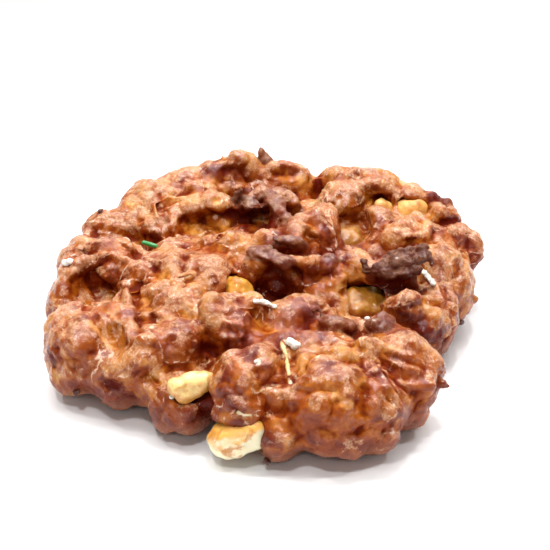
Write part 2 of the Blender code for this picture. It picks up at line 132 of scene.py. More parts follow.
# Small forms on the skin: name, places along it, half width, height (below 0 is sunk).
RELIEF = [
    # left tip and lobes
    ("tip_rope_outer", [(-55, -18), (-60, -22), (-62, -27, 23), (-62.5, -31, 19)], 1.3, 0.8),
    ("tip_rope_inner", [(-54, -27), (-58, -27, 25), (-61, -30, 22), (-61, -33, 18)], 1.2, 0.8),
    ("tip_dome", [(-57, -33, 23)], 4.5, 1.2),
    ("tip_dome_front", [(-53, -36, 21)], 3.6, 1.2),
    ("tip_fold_back", [(-54, -22), (-52, -28), (-48.5, -32), (-45, -35)], 1.3, 0.5),
    ("tip_fold_front", [(-50, -22), (-47.5, -27), (-45, -32)], 1.0, 0.5),
    ("tip_recess", [(-52, -15), (-48, -15.5)], 3.0, -1.2),
    ("tip_low_hollow", [(-46, -42, 15), (-42, -43.5, 15)], 2.2, -1.8),
    ("long_rope", [(-44.5, -1), (-42, -8), (-41.5, -14), (-40, -21), (-39, -28), (-38.5, -36)], 1.5, 1.5),
    ("long_rope_shade", [(-40.2, -8), (-39, -15), (-37.5, -22), (-36.6, -29), (-36, -35)], 1.3, -1.6),
    ("second_rope", [(-20.5, -17), (-20, -24), (-20.5, -31)], 1.1, 1.1),
    ("left_knob", [(-36, -42.5, 22)], 3.4, 1.3),
    ("left_knob_hole", [(-33, -44, 19)], 2.4, -2.6),
    ("left_wrinkle", [(-36, -38), (-32, -39)], 1.3, 1.2),
    ("left_dimple", [(-24.6, -23)], 2.6, -2.4),
    ("left_fold_line", [(-37, -20), (-33, -20.5), (-30, -23)], 1.0, 0.9),
    ("blister", [(-23, -37, 25)], 5.5, 0.9),
    ("blister_hole", [(-26.8, -38.2, 26.5)], 1.7, -2.4),
    ("under_blister", [(-28, -42.5, 19), (-22, -41, 19)], 1.8, -1.6),
    ("grey_bead", [(-17, -34.5, 18.5)], 1.8, 1.4),
    ("nose_crevice", [(-16, -46, 20), (-15.5, -52, 16), (-14.5, -52, 8)], 2.4, -2.2),
    # arch, cavity and tongue
    ("arch_lip", [(-61, 2, 24), (-58, 6), (-54.5, 7.5), (-49, 7), (-44, 6)], 1.4, 1.2),
    ("arch_band", [(-60, 12), (-54, 12), (-47, 14), (-42, 13)], 1.3, 0.9),
    ("arch_groove", [(-59, 9), (-54, 10), (-47, 10.5)], 1.0, -1.0),
    ("cavity", [(-55, 2.5, 21), (-49, 2, 19)], 3.2, -2.2),
    ("tongue_shade", [(-57, 29, 25), (-48.5, 28, 24), (-41, 27, 23)], 2.0, -2.0),
    ("tongue_hole", [(-41.5, 30.5, 28)], 1.2, -1.4),
    ("recess", [(-38, 25, 24), (-34, 20.5)], 1.8, -1.8),
    # plateau
    ("plateau_groove", [(-41, -4.5), (-36, -5.5), (-31, -4)], 1.3, -1.7),
    ("plateau_cleft", [(-26, -3.5), (-25.5, 0), (-25.5, 5)], 1.2, -1.8),
    ("plateau_fold", [(-34, -11), (-28, -7), (-23, -5)], 1.6, 1.1),
    ("plateau_fold_front", [(-33, -16), (-27, -13), (-21, -11)], 1.6, 1.0),
    ("plateau_fold_back", [(-38, 4), (-32, 1), (-27, 1)], 1.8, 1.0),
    ("hump_hole", [(-13.5, 20)], 1.7, -1.8),
    ("hump_hole_small", [(-15, 14)], 1.3, -1.5),
    ("hump_line", [(-19, 11), (-13, 8)], 1.2, -1.5),
    ("lobe_dimple", [(-13, -27.5)], 1.8, -1.5),
    ("lobe_rib_top", [(-12, -32, 28.5), (-7, -32.5, 28)], 0.9, 0.8),
    ("lobe_rib_low", [(-12.5, -34, 25.5), (-7, -34.5, 25)], 0.9, 0.8),
    ("lobe_rib_end", [(-7, -33, 27), (-7, -36, 23)], 0.9, 1.0),
    # back left
    ("back_arc", [(-36, 29), (-37, 36), (-33, 40), (-28, 40)], 1.2, 0.9),
    ("back_arc_inner", [(-33, 30), (-33.5, 35), (-30, 37)], 1.0, 0.8),
    ("back_slot", [(-31, 42), (-25, 42), (-20.5, 43)], 1.6, -1.8),
    ("ledge_slot", [(-27, 33, 27), (-20, 33.5, 27), (-12, 33.5, 27)], 2.2, -2.2),
    ("ledge_hole", [(-17, 36)], 1.6, -1.6),
    ("ledge_tip", [(-11, 35.5)], 2.2, 1.2),
    ("back_knob_ball", [(-9, 56, 37.5)], 5.5, 1.0),
    ("back_nub", [(-15.5, 58.5, 36)], 1.6, 1.4),
    ("back_dimple", [(-14.3, 52.5, 34.5)], 1.6, -1.4),
    ("under_knob", [(-18, 44.5), (-9, 47.5), (0, 48.5), (9, 48.5)], 3.0, -1.8),
    ("crest_slot", [(3, 54), (9, 54)], 1.6, -2.2),
    ("crest_lip", [(2, 57), (9, 57), (13, 57)], 2.2, 1.0),
    # back right
    ("button_gap", [(16, 59), (17, 53), (21, 50)], 1.8, -1.8),
    ("pink_ridge", [(20, 46), (25, 50), (31, 51)], 1.5, 1.0),
    ("pink_ridge_front", [(20, 38), (24, 41), (30, 40)], 1.4, 0.9),
    ("slab", [(31, 45), (36, 44.5)], 2.2, 1.2),
    ("amber_window", [(35.5, 40.5), (38, 40.5)], 2.0, -2.2),
    ("rim_amber", [(38, 51.5), (44, 50)], 1.6, 1.0),
    ("small_window", [(36.5, 21.5)], 1.7, -1.6),
    ("shoulder_nub", [(54, 41.5)], 2.0, 1.4),
    ("shoulder_nub_outer", [(60, 42)], 1.8, 1.2),
    ("shoulder_knob", [(56.5, 36)], 2.6, 1.3),
    ("shoulder_line", [(55, 32), (60, 33.5), (65, 37)], 1.5, -2.0),
    ("knot_pit", [(65, 21.5, 23.5)], 1.8, -1.8),
    ("knot_ridge", [(60, 26), (63, 23), (66, 17)], 1.4, 1.2),
    ("knot_rim", [(66, 27, 23), (68, 23, 19), (67.5, 18, 17)], 1.6, 1.2),
    ("ring_ridge", [(44, 14), (50, 17), (52, 24), (48, 30)], 1.4, 0.9),
    ("ring_ridge_inner", [(41, 19), (45, 21), (46, 26)], 1.1, 0.8),
    # centre
    ("bulge_nodule", [(15.6, 23)], 1.7, 1.3),
    ("bulge_slot", [(12, 19), (16, 18.5)], 1.5, -1.8),
    ("bulge_cleft", [(13, 14.5), (17, 15), (18, 12)], 1.5, -2.0),
    ("far_step", [(21, 15, 27), (22, 12, 27)], 1.6, -1.4),
    ("slab_shade", [(4, 6.5, 29), (11, 6, 29)], 1.4, -1.8),
    ("rim_bead_left", [(8, -1.5, 31)], 2.2, 1.2),
    ("rim_bead_right", [(14, -2.5, 31)], 2.2, 1.2),
    ("under_rim", [(7, -4.5, 28), (13, -5.5, 28), (20, -5, 28)], 1.8, -1.8),
    ("deep_pit", [(1, -5, 20), (5, -6, 20)], 4.0, -2.5),
    ("pit_nodule", [(2.6, 0.1, 20.2)], 2.4, 2.0),
    ("pit_sill", [(-7, -21, 31), (-3, -21, 31)], 2.6, -1.8),
    ("mound", [(16, -8, 24), (20, -9, 24)], 2.6, 1.4),
    ("mound_gap", [(22.5, -7, 23)], 1.5, -1.5),
    ("pit_lip_front", [(22, -14, 25), (28, -14.5, 25), (34, -14, 26)], 1.3, 1.2),
    ("wing_shade", [(34, -8, 26), (40, -9, 26), (46, -7, 25)], 3.0, -2.4),
    ("right_groove", [(43, -18, 26), (48, -14.5), (53, -13, 21)], 1.6, -1.8),
    ("side_streak", [(54, 9), (56, 2), (56, -6, 21), (56, -12, 16)], 1.1, 1.0),
    ("side_streak_inner", [(51, -3), (52.5, -9), (53, -14, 18)], 1.0, 0.9),
    ("side_bead", [(65.5, 5.5, 13.5)], 1.3, 1.2),
    ("low_lump", [(46, -21, 18), (50, -19, 15)], 2.4, 1.4),
    ("low_lump_gap", [(44, -21, 20), (47, -18, 22)], 1.5, -1.6),
    # front fold
    ("front_knob", [(1, -51, 27)], 3.8, 1.3),
    ("front_knob_gap", [(-3, -53, 25), (0, -55.5, 23.5), (4.5, -54, 24)], 1.4, -1.6),
    ("front_hollow", [(-1.7, -58.3, 23)], 2.2, -2.2),
    ("front_strand", [(5, -41), (5.6, -45), (6, -49), (6.4, -53)], 1.0, 1.2),
    ("front_strand_gap", [(8, -46), (8.5, -51)], 1.2, -1.4),
    ("front_ledge", [(-10, -56, 22), (-4, -60, 18), (2, -61, 17)], 1.4, 1.0),
    ("front_ledge_shade", [(-8, -59, 19.5), (-3, -61, 18)], 1.2, -1.2),
    ("foam", [(5, -58, 22), (8, -58, 23)], 2.8, 0.8),
    ("foam_shade", [(3, -60, 19), (8, -61.5, 20)], 1.4, -1.5),
    ("belly_lobe", [(13, -56), (20, -56)], 3.4, 1.5),
    ("belly_bump_left", [(15, -63, 23.5)], 2.6, 1.1),
    ("belly_bump_middle", [(22.5, -61.5, 24.5)], 2.6, 1.2),
    ("belly_bump_low", [(21, -64, 21)], 2.4, 0.9),
    ("belly_bump_right", [(29, -62, 21.5)], 2.4, 1.1),
    ("belly_bump_end", [(34, -60.5, 18.5)], 2.6, 1.1),
    ("belly_crease", [(27, -59, 25.5), (26.8, -62.5, 21.5), (25.6, -65, 15)], 1.3, -1.6),
    ("belly_slot", [(8, -59, 24), (14, -60.5, 25.5), (19, -60.5, 26)], 1.4, -1.4),
    ("fan_ridge", [(30.5, -50), (33, -56, 23), (36, -58.5, 18)], 1.2, 1.1),
    ("fan_ridge_right", [(33, -50), (37, -54, 21), (39, -55, 17)], 1.1, 1.0),
    ("fan_groove", [(32.5, -51, 25), (36.5, -52, 21.5)], 1.3, -1.8),
    ("bulge_rim", [(37, -51, 21), (41, -51.5, 20.5), (45, -49, 19)], 1.2, 1.2),
    ("bulge_dent", [(41.5, -52, 16)], 3.0, -0.9),
    ("right_dimple", [(44, -46.5, 22.4)], 1.8, -1.3),
    ("top_ridge", [(30, -40), (35, -43), (41, -44)], 1.3, 1.0),
    ("top_ridge_front", [(33, -45), (38, -47.5), (43, -47)], 1.2, 1.0),
    ("gold_dimple", [(23, -43)], 1.5, -1.6),
    ("crinkle", [(27.5, -44)], 2.4, 1.1),
    ("dark_nub", [(21.8, -49)], 1.9, 1.5),
    ("cream_dip", [(13, -49), (18, -48)], 2.0, -1.2),
    ("apple_lip", [(-15, -57, 14), (-9, -60, 15.5), (-3, -62, 15)], 1.6, 1.2),
    ("apple_sill", [(-26, -50, 14), (-21, -52.5, 13.5), (-16, -51, 14)], 2.2, 1.8),
]

# Tints laid on the skin: for each, the places along every patch of it, its radius and its strength.
TINTS = {
    "gold": [
        ([(-52, -15), (-47, -16)], 4.0, 1.0), ([(-51, -29), (-45, -34)], 1.8, 0.8),
        ([(-45.5, -29), (-44, -33)], 1.6, 0.8), ([(-34, -12), (-27, -8), (-20, -6)], 7.5, 0.6),
        ([(-36, -18), (-28, -18)], 5.0, 0.5), ([(-41, 27), (-45, 36)], 3.0, 0.5),
        ([(-28, 33), (-15, 36)], 4.0, 0.6), ([(10, -50), (22, -48)], 4.5, 0.9),
        ([(20, -43), (26, -43)], 3.0, 0.9), ([(33, -44), (38, -41)], 4.0, 0.5),
        ([(50, 8), (54, 12), (50, 16)], 5.0, 0.6), ([(24, -14, 25), (34, -13, 25)], 3.0, 0.8),
        ([(36, 38), (40, 40)], 4.5, 0.9), ([(38, 51), (46, 49)], 4.0, 0.6),
        ([(20, 56, 32), (26, 56, 32)], 4.0, 0.5), ([(10, 39, 29), (11, 30)], 3.5, 0.7),
        ([(25, 27, 20), (31, 27, 21)], 6.0, 0.8), ([(33, -56, 22), (37, -55, 18)], 3.0, 0.6),
        ([(-25.5, 34.5, 24), (-15.5, 34, 24)], 5.0, 0.9), ([(34, 43, 29)], 4.0, 0.8),
        ([(30, -61, 20), (35, -60, 16)], 3.0, 0.5),
    ],
    "amber": [
        ([(-44, -26), (-45, -22)], 2.6, 1.0), ([(-36, -4), (-31, -4)], 2.2, 0.9),
        ([(-24.6, -23)], 3.0, 1.0), ([(-38, -46, 14)], 3.4, 0.9), ([(-27, -52, 13)], 3.4, 1.0),
        ([(-60, 0, 20)], 2.6, 1.0), ([(-50, 3, 22)], 3.0, 0.8), ([(-46, 37)], 2.8, 0.9),
        ([(-29, 41), (-21, 42)], 2.2, 0.9), ([(-26, 33, 27), (-20, 34, 27)], 2.2, 1.0),
        ([(-17, 36)], 2.2, 1.0), ([(-13, 8), (-19, 11)], 1.8, 0.8), ([(-11, 12)], 2.4, 0.7),
        ([(3, 53), (10, 53)], 2.6, 0.9), ([(37, 40.5)], 3.0, 1.0), ([(36.5, 21.5)], 2.4, 1.0),
        ([(14, 18)], 2.4, 0.9), ([(12, -6, 25), (24, -5, 26)], 3.4, 0.9),
        ([(22.5, -7, 22.5)], 2.0, 1.0), ([(-2, -29, 24), (4, -32, 25), (10, -29, 24)], 5.0, 1.0),
        ([(44, -20, 20), (38, -20, 20)], 3.0, 0.8), ([(47, -15)], 3.0, 0.7), ([(66, 5, 16)], 2.6, 0.9),
        ([(-13, -56, 19), (-9, -53, 26)], 4.0, 0.8),
        ([(6, -63, 18), (16, -65, 19), (24, -65, 18)], 6.5, 1.0),
        ([(10, -59, 24), (19, -60, 25)], 3.0, 0.9), ([(30, -64, 15), (35, -60, 10)], 3.5, 1.0),
        ([(41, -52, 16)], 3.6, 0.8), ([(35, -50, 23)], 1.8, 0.9), ([(23, -43)], 1.6, 1.0),
        ([(-4, -33, 26), (3, -35.5, 28), (9, -37, 29), (15, -36, 29)], 4.5, 1.0),
        ([(35, -34, 28), (41, -31, 27)], 3.2, 0.9),
    ],
    # Browner crust, and painted shade in the deep pit, under the rims and under the wing
    "brown_and_shade": [
        ([(-20, -33, 27), (-17, -36, 23)], 4.0, 0.9),
        ([(-3, -34.5, 26), (3, -37, 28), (9, -39, 29), (14, -38.5, 29)], 4.0, 0.9),
        ([(34, -35.5, 27.5), (39.5, -34, 28)], 3.6, 0.9),
        ([(41, -19.5, 25), (44, -18, 25.5)], 3.8, 0.9),
        ([(-5, -31, 26), (0, -33, 26), (5, -34, 26), (10, -33, 27)], 5.0, 1.0),
        ([(2.5, -44, 27), (9.4, -45, 28)], 3.5, 0.8),
        ([(35, -33, 27), (42.5, -21, 20), (39, -19, 23)], 5.5, 1.0),
        ([(25.5, -55, 28), (30, -53, 25)], 4.5, 0.8),
        ([(-12.5, -52, 25), (-11, -57, 21), (-8.4, -61, 18)], 4.5, 0.9),
        ([(21.5, 16, 25), (24, 2, 31)], 4.5, 0.9), ([(-18, 52, 35), (-14, 52, 33)], 5.0, 0.9),
        ([(4, -65, 8), (0, -64, 12)], 3.5, 0.8), ([(-6, 34, 30), (-1, 30, 30), (4, 24, 30)], 6.0, 0.8),
        ([(-2, 8, 29), (4, 12, 29), (12, 10, 29), (18, 4, 29)], 5.0, 0.7),
        ([(-20, -48, 12), (-14, -58, 8)], 6.0, 0.8),
        ([(-50, -40, 10), (-38, -47, 9), (-28, -50, 9)], 5.0, 0.7),
        ([(2, 1, 26), (3, -4, 16)], 8.0, 1.0), ([(34, -9, 27), (45, -8, 26)], 6.0, 1.0),
        ([(7, -3, 31), (14, -3.5, 31), (20, -1, 31)], 4.5, 1.0), ([(-4.5, -47, 29.5)], 5.0, 0.9),
        ([(6, -23, 29), (14, -24, 28)], 5.0, 0.6), ([(-22, -33, 28.5)], 4.5, 0.9),
        ([(4, -27, 25), (10, -29, 24)], 4.5, 1.0), ([(-7.5, -36, 26), (-0.5, -33, 25)], 4.0, 1.0),
        ([(20, -58.5, 29), (17.5, -54, 29)], 4.0, 0.8),
    ],
    # Burnt spots, and painted shade in holes and crevices, under the wing and under the back knob
    "char": [
        ([(-62.5, -30, 19), (-62.5, -32, 14)], 2.0, 0.8),
        ([(-46, -42, 15), (-42, -43.5, 15)], 3.2, 0.7), ([(-41.5, 30.5, 28)], 1.4, 0.7),
        ([(-17, -48, 18), (-15, -52, 10)], 4.0, 0.9), ([(54, 41), (60, 42)], 2.6, 0.9),
        ([(57, 33), (65, 37)], 1.8, 0.7), ([(64, 24, 23), (67, 21, 18)], 7.0, 0.35),
        ([(46, -21, 18), (51, -18, 14)], 4.5, 0.8), ([(37, -8, 28), (43, -7, 28)], 3.0, 0.6),
        ([(21.8, -49)], 1.8, 0.7), ([(-5, 31, 28), (-1, 27, 27)], 5.5, 1.0),
        ([(-15, 46), (0, 49), (9, 50)], 3.5, 0.6), ([(17, 56)], 2.0, 0.7), ([(25, 33, 27)], 1.8, 0.8),
    ],
    # Patches of sugar film, which on the bump tops are also painted sheen
    "frost_and_sheen": [
        ([(2.6, 0.1, 20.2)], 2.0, 0.9), ([(-60, -27, 25), (-62, -30, 20)], 2.0, 0.9),
        ([(-59, 4), (-52, 8)], 2.6, 0.7), ([(-54, 33), (-49, 33), (-43, 29)], 3.2, 0.8),
        ([(-18, -2)], 3.2, 1.0), ([(-30, 21)], 2.8, 0.9), ([(-35, 25), (-33, 20)], 2.4, 0.6),
        ([(-28, -19), (-22, -18)], 3.0, 0.7), ([(-43, -22), (-43, -30)], 2.2, 0.7),
        ([(-11, 35.5)], 2.8, 1.0), ([(20, 42), (30, 44), (40, 30)], 7.0, 0.6),
        ([(56, 6), (56, -5, 21), (56, -12, 16)], 1.8, 0.9), ([(5, -58, 22), (8, -58, 23)], 3.4, 0.8),
        ([(-11, -50), (-13, -53)], 2.4, 0.8), ([(26, -64, 10), (21, -66, 12)], 4.0, 0.5),
        ([(60, 26), (66, 27, 22)], 3.0, 0.9), ([(13.5, -64, 24.5)], 2.6, 0.9),
        ([(22.5, -64, 23)], 2.8, 0.9), ([(33.5, -62.5, 19)], 3.0, 0.9), ([(2.5, -59, 16.5)], 2.6, 0.8),
        ([(-52, 3.5, 23.5)], 3.0, 0.7), ([(14, -50), (19, -50)], 2.4, 0.9),
    ],
    "cream": [
        ([(5, -41), (5.6, -45)], 1.3, 1.0), ([(6, -49), (6.4, -54)], 1.1, 0.7), ([(-2, -51)], 1.5, 1.0),
        ([(-7, -60, 18), (-2, -61, 17.5)], 1.0, 0.8), ([(-12, -59, 15), (-5, -62, 15.5)], 1.3, 0.7),
        ([(14, -50)], 1.2, 0.9),
    ],
}

# Colours of the crust under clear glaze, from its deepest dips, at 0, to its brightest windows, at 1.
# The tone that picks them holds painted shade in the hollows and painted light where the skin faces up.
SYRUP = [
    (0.00, (0.10, 0.006, 0.001)),
    (0.26, (0.17, 0.018, 0.001)),
    (0.52, (0.30, 0.055, 0.002)),
    (0.78, (0.46, 0.125, 0.006)),
    (1.00, (0.64, 0.27, 0.04)),
]
# The same where the dough shows yellow through a thin glaze.
GOLDEN = [
    (0.00, (0.12, 0.015, 0.001)),
    (0.28, (0.40, 0.11, 0.005)),
    (0.58, (0.62, 0.26, 0.04)),
    (0.80, (0.76, 0.42, 0.12)),
    (1.00, (0.90, 0.66, 0.36)),
]
# Dried sugar film over it, from thin to thick, which on the tops also stands for painted sheen and
# glints.
FILM_AND_SHEEN = [
    (0.30, (0.40, 0.165, 0.072)),
    (0.55, (0.57, 0.300, 0.150)),
    (0.75, (0.84, 0.62, 0.41)),
]
# painted reflection of the white floor, low on the sides
FLOOR_REFLECTION_MAUVE = (0.35, 0.16, 0.10)  # dull sides near the table
# sugar veins, which also stand for painted glints along the ridges
VEIN_AND_GLINT_PALE = (0.88, 0.66, 0.50)  # veins
CREAM = (0.85, 0.68, 0.42)  # spots
MAROON = (0.13, 0.016, 0.004)  # lightly burnt
# painted light: the lit tops of the lightly burnt shards
LIT_MAROON = (0.27, 0.12, 0.06)  # lightly burnt, facing up
CHAR = (0.065, 0.010, 0.003)  # burnt
# painted light on the lit tops of the burnt shards, and the paler grain of the burnt crumbs
ASH_AND_LIT_CHAR = (0.18, 0.075, 0.042)  # burnt, facing up
STAIN_SHARES = (0.65, 0.42, 0.2)  # what syrup leaves of the red, green and blue of the apple
SUGAR_WHITES = ((0.85, 0.83, 0.78), (0.70, 0.66, 0.58))
CANDY_GREENS = ((0.02, 0.30, 0.06), (0.01, 0.20, 0.04))
# Heights at which the painted floor reflection on the sides begins and is at its fullest.
FLOOR_REFLECTION_TOP = 11.0
FLOOR_REFLECTION_FULL = 4.0


def mm(values):
    return Vector(values) * MM


# Mesh helpers


def object_from(name, shape):
    mesh = bpy.data.meshes.new(name)
    shape.to_mesh(mesh)
    shape.free()
    made = bpy.data.objects.new(name, mesh)
    bpy.context.scene.collection.objects.link(made)
    return made


def copy_of(node):
    """A free copy of a CAD node, with its split corners joined."""
    shape = bmesh.new()
    shape.from_mesh(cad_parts[node].data)
    bmesh.ops.remove_doubles(shape, verts=shape.verts, dist=WELD * MM)
    return object_from(node + "_look", shape)


def settle(made):
    """Gives an object the mesh that its modifiers make, and drops the modifiers."""
    graph = bpy.context.evaluated_depsgraph_get()
    mesh = bpy.data.meshes.new_from_object(made.evaluated_get(graph))
    made.modifiers.clear()
    made.data = mesh


def melt(made, voxel):
    """Joins what overlaps into one even skin."""
    remesh = made.modifiers.new("melt", "REMESH")
    remesh.mode = "VOXEL"
    remesh.voxel_size = voxel * MM
    settle(made)


def add_ball(shape, ball, height, subdivisions):
    """Adds a ball, given as x, y, z, radius, with its own radius along Z."""
    x, y, z, radius = ball
    matrix = Matrix.LocRotScale(mm((x, y, z)), None, mm((radius, radius, height)))
    bmesh.ops.create_icosphere(shape, subdivisions=subdivisions, radius=1.0, matrix=matrix)


def points_of(made):
    flat = np.empty(len(made.data.vertices) * 3)
    made.data.vertices.foreach_get("co", flat)
    return flat.reshape(-1, 3)


def normals_of(made):
    flat = np.empty(len(made.data.vertices) * 3, dtype=np.float32)
    made.data.vertex_normals.foreach_get("vector", flat)
    return flat.reshape(-1, 3).astype(float)


def put_points(made, points):
    made.data.vertices.foreach_set("co", points.ravel())
    made.data.update()
    return points


def edges_of(made):
    flat = np.empty(len(made.data.edges) * 2, dtype=np.int32)
    made.data.edges.foreach_get("vertices", flat)
    return flat.reshape(-1, 2)


def neighbour_mean(values, edges, passes):
    """Values at points, averaged with their neighbours a number of times."""
    here = np.concatenate((edges[:, 0], edges[:, 1]))
    there = np.concatenate((edges[:, 1], edges[:, 0]))
    total = len(values)
    count = np.maximum(np.bincount(here, minlength=total), 1)
    columns = [values] if values.ndim == 1 else list(values.T)
    done = []
    for column in columns:
        for _ in range(passes):
            around = np.bincount(here, weights=column[there], minlength=total)
            column = 0.5 * column + 0.5 * around / count
        done.append(column)
    return done[0] if values.ndim == 1 else np.stack(done, axis=1)


def middle_of(points):
    return (points.max(0) + points.min(0)) / 2


def rounded(points, edges, passes):
    """Points of a body with its corners melted, stretched back to its first size."""
    soft = neighbour_mean(points, edges, passes)
    return middle_of(points) + (soft - middle_of(soft)) * (np.ptp(points, 0) / np.ptp(soft, 0))


def plump(points, share):
    """Points of a body drawn part of the way onto the egg shape that just fits its box."""
    middle = middle_of(points)
    half = np.ptp(points, 0) / 2
    away = (points - middle) / half
    length = np.linalg.norm(away, axis=1)[:, None]
    return middle + half * away * (1 - share + share / length)


def ramp(values, low, high):
    """0 at low, 1 at high, smooth between."""
    share = np.clip((values - low) / (high - low), 0, 1)
    return share * share * (3 - 2 * share)


def cloud(points, size, seed):
    """Soft noise from -1 to 1 with lumps about this many millimetres apart."""
    shift = Vector([seed * step for step in CLOUD_STEP])
    scale = 1 / (size * MM)
    return np.array([noise.noise(Vector(p) * scale + shift) for p in points])


def knobs(points, size, seed):
    """Round knobs packed side by side, from about 0 in the creases to 1 on their tops."""
    shift = Vector([seed * step for step in KNOB_STEP])
    scale = 1 / (size * MM)
    apart = np.array([noise.voronoi(Vector(p) * scale + shift)[0][0] for p in points])
    return 1 - 1.4 * apart * apart


def drift(points, size, amount, seeds):
    """Soft offsets, one seed for each axis, that bend a pattern laid over the points."""
    return np.stack([cloud(points, size, seed) for seed in seeds], axis=1) * amount * MM


def keep(made, name, values):
    """Stores a value for each point, for the materials."""
    attribute = made.data.attributes.new(name, "FLOAT", "POINT")
    attribute.data.foreach_set("value", values.astype(np.float32))


# Places on the skin


def tree_of(mesh):
    """A surface to drop places onto."""
    shape = bmesh.new()
    shape.from_mesh(mesh)
    tree = BVHTree.FromBMesh(shape)
    shape.free()
    return tree


def rest(tree, place, lift):
    """The spot on a surface nearest to a place, lifted off it."""
    spot, normal = tree.find_nearest(mm(place))[:2]
    return tuple((spot + normal * lift * MM) / MM)


def on_skin(tree, place):
    """The spot on a surface that a place of two or three numbers stands for, in metres."""
    if len(place) == 2:
        top = Vector((place[0], place[1], 100)) * MM
        found = tree.ray_cast(top, Vector((0, 0, -1)))[0]
        if found is not None:
            return found
        place = (*place, 20)
    return tree.find_nearest(mm(place))[0]


def nearness(points, path, radius):
    """1 on a path, falling softly to 0 at the radius. The path and the radius are in metres."""
    corners = np.array(path)
    inside = np.all((points > corners.min(0) - radius) & (points < corners.max(0) + radius), axis=1)
    some = points[inside]
    distance = np.full(len(some), np.inf)
    for start, end in zip(corners, corners[1:] if len(corners) > 1 else corners):
        along = end - start
        length = max(along @ along, 1e-12)
        share = np.clip((some - start) @ along / length, 0, 1)
        distance = np.minimum(distance, np.linalg.norm(some - start - share[:, None] * along, axis=1))
    found = np.zeros(len(points))
    found[inside] = ramp(distance, radius, 0)
    return found


# Skin


def hollow(points, normals, edges, passes):
    """How far each point lies below its surroundings."""
    smooth = neighbour_mean(points, edges, passes)
    return np.einsum("ij,ij->i", smooth - points, normals) / MM


def balls_along(path):
    """Balls close together along a path of balls, each as x, y, z, radius."""
    if len(path) == 1:
        return path
    balls = []
    for start, end in zip(path, path[1:]):
        start, end = np.array(start), np.array(end)
        steps = math.ceil(np.linalg.norm(end[:3] - start[:3]) / (BALL_STEP * min(start[3], end[3])))
        balls += [start + (end - start) * step / steps for step in range(steps + 1)]
    return balls


def near_path(points, path, reach):
    """1 along a path of balls, falling softly to 0 this far past the widest ball."""
    widest = max(ball[3] for ball in path)
    return nearness(points, [mm(ball[:3]) for ball in path], (widest + reach) * MM)


def add_shards(made):
    shape = bmesh.new()
    shape.from_mesh(made.data)
    for _, thickness, _, path in SHARDS:
        for ball in balls_along(path):
            add_ball(shape, ball, ball[3] * thickness, 2)
    shape.to_mesh(made.data)
    shape.free()


def near_shards(points):
    """How near each point is to a shard, and how coarse the crust is there."""
    nearest, coarse = np.zeros(len(points)), np.zeros(len(points))
    for _, _, strength, path in SHARDS:
        near = near_path(points, path, SHARD_REACH)
        nearest = np.maximum(nearest, near)
        most = max(COARSE_LEAST, ramp(strength, 0.5, 0.9))
        coarse = np.maximum(coarse, ramp(near, 0.05, 0.3) * most)
    return nearest, coarse


def soften(made, points, edges, near_shard):
    """Melts the facets of the frame, and much less of the shards."""
    much = neighbour_mean(points, edges, FACET_PASSES)
    little = neighbour_mean(points, edges, SHARD_PASSES)
    share = ramp(near_shard, 0.0, 0.3)[:, None]
    return put_points(made, much * (1 - share) + little * share)


def model(made, points, tree):
    """Raises and sinks the small forms of the table."""
    normals = neighbour_mean(normals_of(made), edges_of(made), FORM_PASSES)
    rise = np.zeros(len(points))
    for _, places, width, height in RELIEF:
        path = [on_skin(tree, place) for place in places]
        share = FORM_RISE if height > 0 else FORM_SINK
        rise += nearness(points, path, width * FORM_REACH * MM) * height * share
    return put_points(made, points + normals * rise[:, None] * MM)


def tint(made, points, tree):
    """Stores how strong each tint is at each point, and how burnt the point is."""
    for name, patches in TINTS.items():
        amount = np.zeros(len(points))
        for places, radius, strength in patches:
            path = [on_skin(tree, place) for place in places]
            amount = np.maximum(amount, strength * nearness(points, path, radius * TINT_REACH * MM))
        keep(made, name, amount)
    burnt = np.zeros(len(points))
    for _, _, strength, path in SHARDS:
        burnt = np.maximum(burnt, strength * ramp(near_path(points, path, BURN_REACH), 0.05, 0.35))
    keep(made, "burnt", burnt)


def roughen(made):
    """Knobs with creases between them, in layers from large to small."""
    points = points_of(made)
    free = ramp(points[:, 2] / MM, 0.3, 5)
    warp = drift(points, 9, 3.0, (1, 2, 3))
    for size, height, vary, seed in KNOB_LAYERS:
        normals = normals_of(made)
        lively = (0.8 + 1.3 * cloud(points, vary, seed + 9)).clip(0)
        rise = (knobs(points + warp, size, seed) - 0.6) * height * lively
        points = put_points(made, points + normals * (rise * free)[:, None] * MM)
    return points


def veins(points):
    """Thin curved lines, 1 on a line and 0 beside it, in some places only."""
    warp = drift(points, 7, 4.0, (61, 62, 63))
    line = ramp(np.abs(cloud(points + warp, 8.0, 64)), 0.09, 0.0)
    return line * ramp(cloud(points, 15, 65), -0.15, 0.15)


def gritty(points, coarse):
    """Fine grit, faint on smooth crust and strong on burnt flakes."""
    return (cloud(points, 1.5, 51) + 0.6 * cloud(points, 3.0, 52)) * (0.15 + 0.85 * coarse)


def skin():
    """The dough's surface with all its forms, and the values that its material reads."""
    tree = tree_of(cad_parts["dough"].data)
    made = copy_of("dough")
    add_shards(made)
    melt(made, SKIN_VOXEL)
    edges = edges_of(made)
    points = points_of(made)
    near_shard, coarse = near_shards(points)
    points = soften(made, points, edges, near_shard)
    points = model(made, points, tree)
    tint(made, points, tree)
    points = roughen(made)
    vein = veins(points) * (1 - ramp(near_shard, 0.05, 0.3))
    points = put_points(made, points + normals_of(made) * (vein * VEIN_HEIGHT * MM)[:, None])
    keep(made, "vein", vein)
    points = points + normals_of(made) * (gritty(points, coarse) * GRIT_HEIGHT * MM)[:, None]
    points[:, 2] = np.maximum(points[:, 2], 0)
    put_points(made, points)
    normals = normals_of(made)
    for name, passes in HOLLOWS.items():
        keep(made, name, hollow(points, normals, edges, passes))
    keep(made, "up", neighbour_mean(normals, edges, 4)[:, 2])
    return made


# Materials


